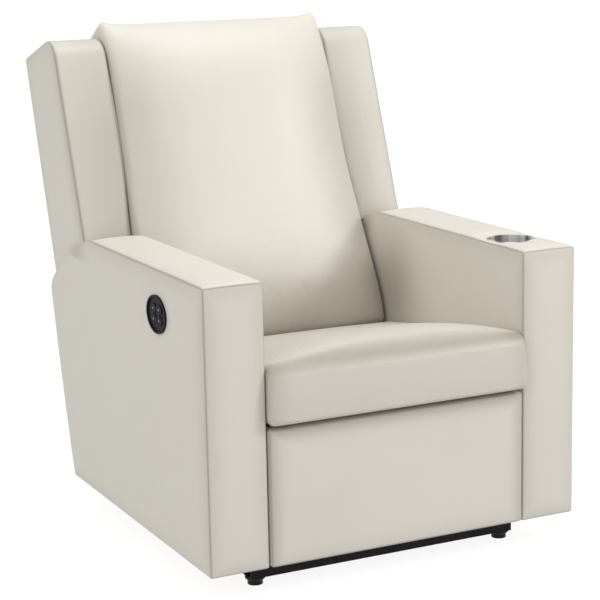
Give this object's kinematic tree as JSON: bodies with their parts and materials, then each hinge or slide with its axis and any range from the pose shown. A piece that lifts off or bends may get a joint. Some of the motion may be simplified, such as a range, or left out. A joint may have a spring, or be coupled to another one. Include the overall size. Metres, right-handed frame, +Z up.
{
  "type": "cinema recliner seat",
  "caption": "Power cinema recliner with padded shell arms, winged reclining back, folding footrest, cup holder and switch.",
  "frame": {"origin": "on the floor, at the middle of the seat's width and of its depth", "axes": "+Z up, front faces -Y, +X to the right as seen from the front"},
  "size_m": [0.807, 1.0344, 1.0289],
  "materials": {
    "upholstery": "satin, very fine grain, bone white leatherette",
    "black_steel": "black powder coat",
    "zinc_steel": "zinc plated",
    "spring_steel": "oiled spring wire",
    "polished_steel": "polished stainless steel",
    "black_plastic": "fine texture",
    "button_plastic": "semi gloss",
    "black_rubber": "matt",
    "plywood": "raw plywood"
  },
  "bodies": {
    "base": {"base_front_bar": "black_steel", "base_rear_bar": "black_steel", "base_side_rails": "black_steel", "glide_feet": "black_plastic", "side_plates": "black_steel", "hinge_bearings": "zinc_steel", "motor_crossbar": "black_steel", "frame_bolts": "zinc_steel", "seat_front_strap": "black_steel", "seat_rear_rail": "black_steel", "seat_springs": "spring_steel", "seat_cushion": "upholstery", "rear_skirt": "upholstery", "arm_frames": "plywood", "arm_inner_panel_left": "upholstery", "arm_outer_panel_left": "upholstery", "arm_top_pad_left": "upholstery", "arm_front_pad_left": "upholstery", "arm_rear_covers": "upholstery", "arm_inner_panel_right": "upholstery", "arm_outer_panel_right": "upholstery", "arm_top_pad_right": "upholstery", "arm_front_pad_right": "upholstery", "cup_liner": "polished_steel", "cup_mat": "black_rubber", "switch_bezel": "black_plastic", "switch_body": "black_plastic", "power_supply": "black_plastic", "legrest_motor": "black_plastic", "legrest_rail": "black_steel", "recline_motor": "black_plastic", "recline_rail": "black_steel"},
    "legrest_drive": {"torque_tube": "zinc_steel", "drive_links": "zinc_steel", "drive_link_pins": "zinc_steel", "legrest_crank": "zinc_steel"},
    "carry_links": {"carry_links": "zinc_steel"},
    "tilt_links": {"tilt_links": "zinc_steel"},
    "footrest": {"bracket_pins": "zinc_steel", "footrest_brackets": "zinc_steel", "footrest_board": "plywood", "footrest_pad": "upholstery"},
    "legrest_slider": {"legrest_slider": "black_plastic"},
    "recline_slider": {"recline_slider": "black_plastic"},
    "back": {"recline_crank": "zinc_steel", "back_uprights": "black_steel", "back_cross_rails": "black_steel", "wing_rails": "plywood", "back_springs": "spring_steel", "recline_arms": "black_steel", "recline_pins": "zinc_steel", "back_cushion": "upholstery", "back_rear_cover": "upholstery", "wing_left": "upholstery", "wing_right": "upholstery", "wing_boards": "plywood"},
    "button_recline_back": {"button_recline_back": "button_plastic"},
    "button_recline_up": {"button_recline_up": "button_plastic"},
    "button_legs_out": {"button_legs_out": "button_plastic"},
    "button_legs_in": {"button_legs_in": "button_plastic"}
  },
  "joints": [
    {"name": "legrest_swing", "type": "hinge", "parent": "base", "child": "legrest_drive", "pos_m": [0, -0.39718, 0.316], "axis": [-1, 0, 0], "range_deg": [0, 88]},
    {"name": "carry_fold", "type": "hinge", "parent": "legrest_drive", "child": "carry_links", "pos_m": [0, -0.40218, 0.144], "axis": [-1, 0, 0], "range_deg": [-176.1, 0.1]},
    {"name": "tilt_fold", "type": "hinge", "parent": "legrest_drive", "child": "tilt_links", "pos_m": [0, -0.39018, 0.171], "axis": [-1, 0, 0], "range_deg": [-177, 0.1]},
    {"name": "footrest_turn", "type": "hinge", "parent": "carry_links", "child": "footrest", "pos_m": [0, -0.42418, 0.266], "axis": [-1, 0, 0], "range_deg": [-0.1, 170]},
    {"name": "legrest_slide", "type": "slide", "parent": "base", "child": "legrest_slider", "axis": [0, -1, 0], "range_m": [0, 0.0713]},
    {"name": "back_recline", "type": "hinge", "parent": "base", "child": "back", "pos_m": [0, 0.14782, 0.395], "axis": [-1, 0, 0], "range_deg": [0, 38]},
    {"name": "recline_slide", "type": "slide", "parent": "base", "child": "recline_slider", "axis": [0, -1, 0], "range_m": [0, 0.07191]},
    {"name": "recline_back_press", "type": "slide", "parent": "base", "child": "button_recline_back", "axis": [1, 0, 0], "range_m": [0, 0.0025], "stiffness_N_per_m": 400},
    {"name": "recline_up_press", "type": "slide", "parent": "base", "child": "button_recline_up", "axis": [1, 0, 0], "range_m": [0, 0.0025], "stiffness_N_per_m": 400},
    {"name": "legs_out_press", "type": "slide", "parent": "base", "child": "button_legs_out", "axis": [1, 0, 0], "range_m": [0, 0.0025], "stiffness_N_per_m": 400},
    {"name": "legs_in_press", "type": "slide", "parent": "base", "child": "button_legs_in", "axis": [1, 0, 0], "range_m": [0, 0.0025], "stiffness_N_per_m": 400}
  ],
  "couplings": [
    {"joint": "carry_fold", "follows": "legrest_swing", "ratio": -2},
    {"joint": "tilt_fold", "follows": "legrest_swing", "ratio": -2.01},
    {"joint": "footrest_turn", "follows": "legrest_swing", "ratio": 1.93},
    {"joint": "legrest_slide", "follows": "legrest_swing", "m_per_rad": 0.046357},
    {"joint": "recline_slide", "follows": "back_recline", "m_per_rad": 0.10827}
  ]
}
